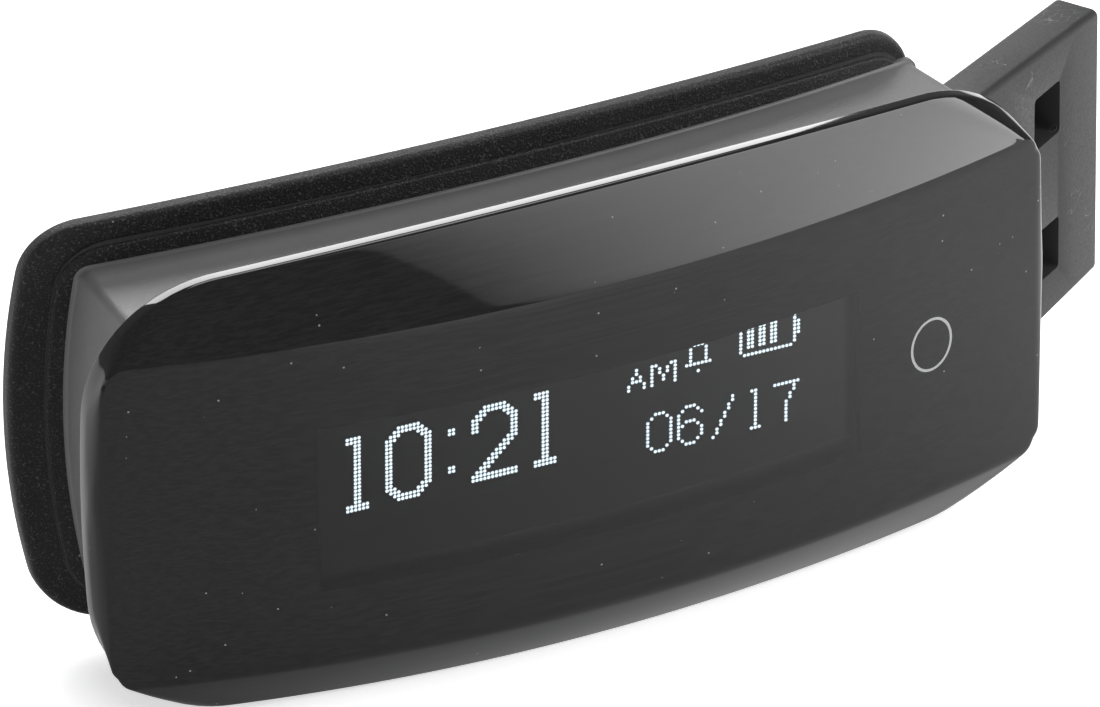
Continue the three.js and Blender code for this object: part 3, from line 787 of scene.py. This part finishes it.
def makeBlade(s):
    tip = s["tipRound"]
    rings = []
    for i in range(5):
        angle = math.pi / 2 * i / 4
        rings.append(roundedBladeRing(s, tip * (1 - math.sin(angle)), tip * (1 - math.cos(angle))))
    rings = rings[::-1]
    for along in (2, 5, 8, s["length"]):
        rings.append(roundedBladeRing(s, along, 0))
    body = loft("blade_body", rings)
    near, far = s["windowFromTip"], s["windowFromTip"] + s["windowLength"]
    for side in (-1, 1):
        low = side * s["windowOffset"] - s["windowWidth"] / 2
        high = side * s["windowOffset"] + s["windowWidth"] / 2
        floors = (s["windowDeep"], s["windowShallow"])
        corners = bladeCorners(near, far, -s["cutAbove"], floors, low, high)
        cutter = bladeBlock("latch_cutter", s, corners)
        bevelEdges(cutter, s["windowRound"], 3, 60)
        applyBoolean(body, cutter, "DIFFERENCE")
        bpy.data.objects.remove(cutter)
    bevelEdges(body, s["edgeRound"], 2, 50)
    smooth(body, 30)
    finishPiece(body, made["blade_plastic"], ("usb_blade",))


def bladeSlot(s):
    gap = s["slotGap"]
    half = s["width"] / 2 + s["length"] * math.tan(math.radians(s["draft"])) + gap
    floor = s["thickness"] + gap
    return bladeBlock("slot_cutter", s, bladeCorners(
        -s["slotPastTip"], s["slotLength"], -gap, (floor, floor), -half, half))


shell = makeHousing(housing)
cutter = bladeSlot(blade)
applyBoolean(shell, cutter, "DIFFERENCE")
bpy.data.objects.remove(cutter)
smooth(shell, 32)
finishPiece(shell, made["housing_plastic"], ("housing",))
makeBlade(blade)
print("housing and blade are made")


# Back cover.
cover = {
    "centre": -0.93, "halfLength": 20.41, "halfHeight": 10.45,
    "sideRadius": 122, "endRadius": 36, "corner": 2.9,
    "front": 7.6, "thickness": 0.7, "bow": 58, "edge": 0.22, "lip": 0.42,
    "seat": 1.5, "footRound": 0.12, "grooveInset": 0.12, "lipRise": 0.02, "edgeRise": 0.03,
    "backFlat": 1.2, "leastCorner": 0.6,
}


def coverRing(s, inset, depth):
    outline = barrel(
        s["halfLength"] - inset, s["halfHeight"] - inset, s["sideRadius"] - inset, s["endRadius"] - inset,
        max(s["corner"] - inset, s["leastCorner"]), centre=s["centre"])
    return bowed(outline, depth, s["bow"])


def makeCover(s):
    front, back, edge = s["front"], s["front"] + s["thickness"], s["edge"]
    step, footRound = front - housing["footSunk"] - housing["footRise"], s["footRound"]
    rings = [waistRing(housing, -s["seat"], step, s["bow"])]
    rings += roundRings(footRing(housing, footRound, step), footRing(housing, 0, step),
                        footRing(housing, 0, step + footRound), 4)
    rings += [footRing(housing, 0, front), coverRing(s, s["lip"] + s["grooveInset"], front)]
    rings.append(coverRing(s, s["lip"], front - s["lipRise"]))
    rings += roundRings(coverRing(s, edge, front - s["edgeRise"]), coverRing(s, 0, front - s["edgeRise"]),
                        coverRing(s, 0, front + edge), 6)
    rings += roundRings(coverRing(s, 0, back - edge), coverRing(s, 0, back), coverRing(s, edge, back), 6)
    rings.append(coverRing(s, s["backFlat"], back))
    plate = loft("cover_plate", rings)
    smooth(plate, 40)
    finishPiece(plate, made["cover_plastic"], ("back_cover",))


makeCover(cover)
print("cover is made")


# Lit display.
display = {
    "pitch": 0.175, "squeeze": 0.985, "dot": 0.074, "middleX": -0.93, "middleZ": -0.10,
    "middleColumn": 55.5, "middleRow": 7.5, "turn": -0.93, "lift": 0.03, "thick": 0.02,
}

# Each figure as blocks of dots: column, row, columns wide, rows high.
bigFigures = {
    "1": [(0, 0, 4, 2), (2, 2, 2, 16), (0, 18, 6, 2)],
    "0": [(3, 0, 6, 1), (2, 1, 8, 1), (1, 2, 3, 1), (8, 2, 3, 1), (0, 3, 3, 1), (9, 3, 3, 1),
          (0, 4, 2, 12), (10, 4, 2, 12), (0, 16, 3, 1), (9, 16, 3, 1), (1, 17, 3, 1), (8, 17, 3, 1),
          (2, 18, 8, 1), (3, 19, 6, 1)],
    ":": [(0, 4, 2, 2), (0, 14, 2, 2)],
    "2": [(3, 0, 6, 1), (2, 1, 8, 1), (1, 2, 3, 1), (8, 2, 3, 1), (0, 3, 3, 1), (9, 3, 3, 1),
          (0, 4, 2, 3), (10, 4, 2, 5), (9, 9, 3, 1), (8, 10, 3, 1), (7, 11, 3, 1), (6, 12, 3, 1),
          (5, 13, 3, 1), (4, 14, 3, 1), (3, 15, 3, 1), (2, 16, 3, 1), (1, 17, 3, 1), (0, 18, 12, 2)],
}
smallFigures = {
    "0": [(2, 0, 3, 1), (2, 10, 3, 1), (1, 1, 1, 1), (5, 1, 1, 1), (1, 9, 1, 1), (5, 9, 1, 1), (0, 2, 1, 7),
          (6, 2, 1, 7)],
    "6": [(2, 0, 3, 1), (1, 1, 1, 1), (5, 1, 1, 1), (6, 2, 1, 1), (0, 2, 1, 7), (2, 4, 3, 1), (1, 5, 1, 1),
          (5, 5, 1, 1), (6, 6, 1, 3), (1, 9, 1, 1), (5, 9, 1, 1), (2, 10, 3, 1)],
    "/": [(5, 0, 1, 2), (4, 2, 1, 2), (3, 4, 1, 2), (2, 6, 1, 2), (1, 8, 1, 2), (0, 10, 1, 1)],
    "1": [(0, 0, 2, 1), (1, 1, 1, 9), (0, 10, 3, 1)],
    "7": [(0, 0, 7, 1), (5, 1, 1, 2), (4, 3, 1, 2), (3, 5, 1, 6)],
}
signFigures = {
    "A": [(2, 0, 1, 2), (1, 2, 1, 1), (3, 2, 1, 1), (1, 3, 3, 1), (0, 4, 1, 2), (4, 4, 1, 2)],
    "M": [(0, 0, 1, 6), (6, 0, 1, 6), (1, 0, 1, 1), (5, 0, 1, 1), (2, 1, 1, 2), (4, 1, 1, 2), (3, 3, 1, 2)],
    "bell": [(3, 0, 1, 1), (2, 1, 3, 1), (1, 2, 1, 4), (5, 2, 1, 4), (0, 6, 7, 1), (3, 8, 1, 1)],
    "battery": [(0, 1, 1, 9), (14, 1, 1, 9), (1, 10, 13, 1), (1, 0, 13, 1), (2, 3, 2, 6), (5, 3, 2, 6),
                (8, 3, 2, 6), (15, 4, 1, 4)],
}
layout = {
    "display_time": [(bigFigures, "1", 0, 0), (bigFigures, "0", 10, 0), (bigFigures, ":", 26, 0),
                     (bigFigures, "2", 32, 0), (bigFigures, "1", 48, 0)],
    "display_date": [(smallFigures, "0", 77, 13), (smallFigures, "6", 85, 13), (smallFigures, "/", 94, 13),
                     (smallFigures, "1", 104, 13), (smallFigures, "7", 110, 13)],
    "display_signs": [(signFigures, "A", 72, 0), (signFigures, "M", 78, 0), (signFigures, "bell", 87, -4),
                      (signFigures, "battery", 101, -7)],
}
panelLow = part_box("display_cover_glass")[0]


def makeDots(s):
    front = (panelLow.y - bodyMiddle.y) / mm - s["lift"]
    turn = math.radians(s["turn"])
    deselectAll()
    bpy.ops.mesh.primitive_cylinder_add(
        vertices=8, radius=s["dot"] * mm, depth=s["thick"] * mm, rotation=(math.pi / 2, math.pi / 8, 0))
    seed = bpy.context.object
    settle(seed)
    for name, figures in layout.items():
        dots = []
        for shapes, figure, column, row in figures:
            for left, top, wide, high in shapes[figure]:
                for c in range(left, left + wide):
                    for r in range(top, top + high):
                        across = (column + c - s["middleColumn"]) * s["pitch"] * s["squeeze"]
                        up = (s["middleRow"] - row - r) * s["pitch"]
                        x = s["middleX"] + across * math.cos(turn) - up * math.sin(turn)
                        z = s["middleZ"] + across * math.sin(turn) + up * math.cos(turn)
                        dot = copyOf(seed, "dot")
                        dot.location = place(x, front, z)
                        dots.append(dot)
        deselectAll()
        for dot in dots:
            dot.select_set(True)
        bpy.context.view_layer.objects.active = dots[0]
        bpy.ops.object.join()
        group = bpy.context.object
        group.name = name
        settle(group)
        finishPiece(group, dotLight)
    bpy.data.objects.remove(seed)


makeDots(display)
print("display is lit")


# Carried-over nodes.
slotOf = {part["node"]: part["material_slot"] for part in frame["record"]["subparts"]}
for name, node in frame["nodes"].items():
    if node.hide_render:
        continue
    node.data.materials.clear()
    node.data.materials.append(made[slotOf[name]])
print("carried-over nodes have their finishes")

# Floor, light and world.
studio = {
    "floorSize": 8.0, "floorTone": (0.86, 0.86, 0.86), "floorGlow": 0.55,
    "worldTone": (1.0, 1.0, 1.0), "worldStrength": 0.3,
    # painted reflection, the floor as only reflected rays see it: its tone, its glow on the left, right and
    # behind, and how far each change runs
    "reflectedTone": 0.5, "reflected": (0.0, 0.75, 0.7), "reflectedRun": 0.03, "behindRun": 0.012,
    # name: azimuth, elevation, distance, width, height, radiance on the left, radiance on the right
    "key": (38, 25, 0.9, 0.75, 0.83, 0.5, 9.2),
    "back": (174, 34, 0.9, 0.68, 0.36, 9.0, 9.0),
    "top": (150, 72, 1.1, 0.6, 0.5, 5.0, 5.0),
}


def makeFloor(s):
    deselectAll()
    bpy.ops.mesh.primitive_plane_add(size=s["floorSize"])
    floor = bpy.context.object
    floor.name = "floor"
    material, tree, shader, where = startMaterial("floor_paper")
    grain = placeGroup(tree, mouldGrain, where, Scale=1500.0)
    tone = rampNode(tree, grain.outputs["Tone"], 0.3, 0.7)
    paper = mixColour(tree, tone, [c * 0.99 for c in s["floorTone"]], s["floorTone"])
    shader.inputs["Roughness"].default_value = 1
    shader.inputs["Specular IOR Level"].default_value = 0
    shader.inputs["Emission Color"].default_value = (1, 1, 1, 1)
    # Painted reflection: reflected rays see the floor dimmed and glowing, darker on the left and brighter
    # on the right and behind; camera rays see the evenly bright paper.
    left, right, behind = s["reflected"]
    split = addNode(tree, "ShaderNodeSeparateXYZ")
    tree.links.new(where, split.inputs[0])
    across = rampNode(tree, split.outputs[0], -s["reflectedRun"], s["reflectedRun"], left, right)
    glow = mathNode(tree, "ADD", across, rampNode(tree, split.outputs[1], 0.0, s["behindRun"], 0.0, behind))
    path = addNode(tree, "ShaderNodeLightPath")
    paintedReflectionShade = mixColour(tree, 1 - s["reflectedTone"], paper, (0, 0, 0))
    shown = mixColour(tree, path.outputs["Is Glossy Ray"], paper, paintedReflectionShade)
    tree.links.new(shown, shader.inputs["Base Color"])
    seen = addNode(tree, "ShaderNodeMix", data_type="FLOAT")
    tree.links.new(path.outputs["Is Glossy Ray"], seen.inputs[0])
    seen.inputs[2].default_value = s["floorGlow"]
    tree.links.new(glow, seen.inputs[3])
    tree.links.new(seen.outputs[0], shader.inputs["Emission Strength"])
    floor.data.materials.append(material)


def makeLight(name, azimuth, elevation, distance, width, height, left, right):
    # A soft box on a ball round the object: azimuth 0 is in front, 90 on the right.
    az, el = math.radians(azimuth), math.radians(elevation)
    away = Vector((math.sin(az) * math.cos(el), -math.cos(az) * math.cos(el), math.sin(el)))
    data = bpy.data.lights.new(name, "AREA")
    data.shape, data.size, data.size_y = "RECTANGLE", width, height
    data.energy = width * height * math.pi
    data.use_nodes = True
    tree = data.node_tree
    lamp = tree.nodes["Emission"]
    across = addNode(tree, "ShaderNodeSeparateXYZ")
    wire(tree, addNode(tree, "ShaderNodeNewGeometry"), across, "Parametric", 0)
    tree.links.new(rampNode(tree, across.outputs[0], 0.0, 1.0, left, right), lamp.inputs["Strength"])
    box = bpy.data.objects.new(name, data)
    box.location = place(0, 4, 0) + away * distance
    box.rotation_euler = away.to_track_quat("Z", "Y").to_euler()
    box.visible_camera = False
    scene.collection.objects.link(box)


makeFloor(studio)
for lightName in ("key", "back", "top"):
    makeLight(lightName, *studio[lightName])
world = bpy.data.worlds.new("studio")
world.use_nodes = True
world.node_tree.nodes["Background"].inputs[0].default_value = (*studio["worldTone"], 1)
world.node_tree.nodes["Background"].inputs[1].default_value = studio["worldStrength"]
scene.world = world
scene.view_settings.view_transform = "Standard"
print("studio is lit")
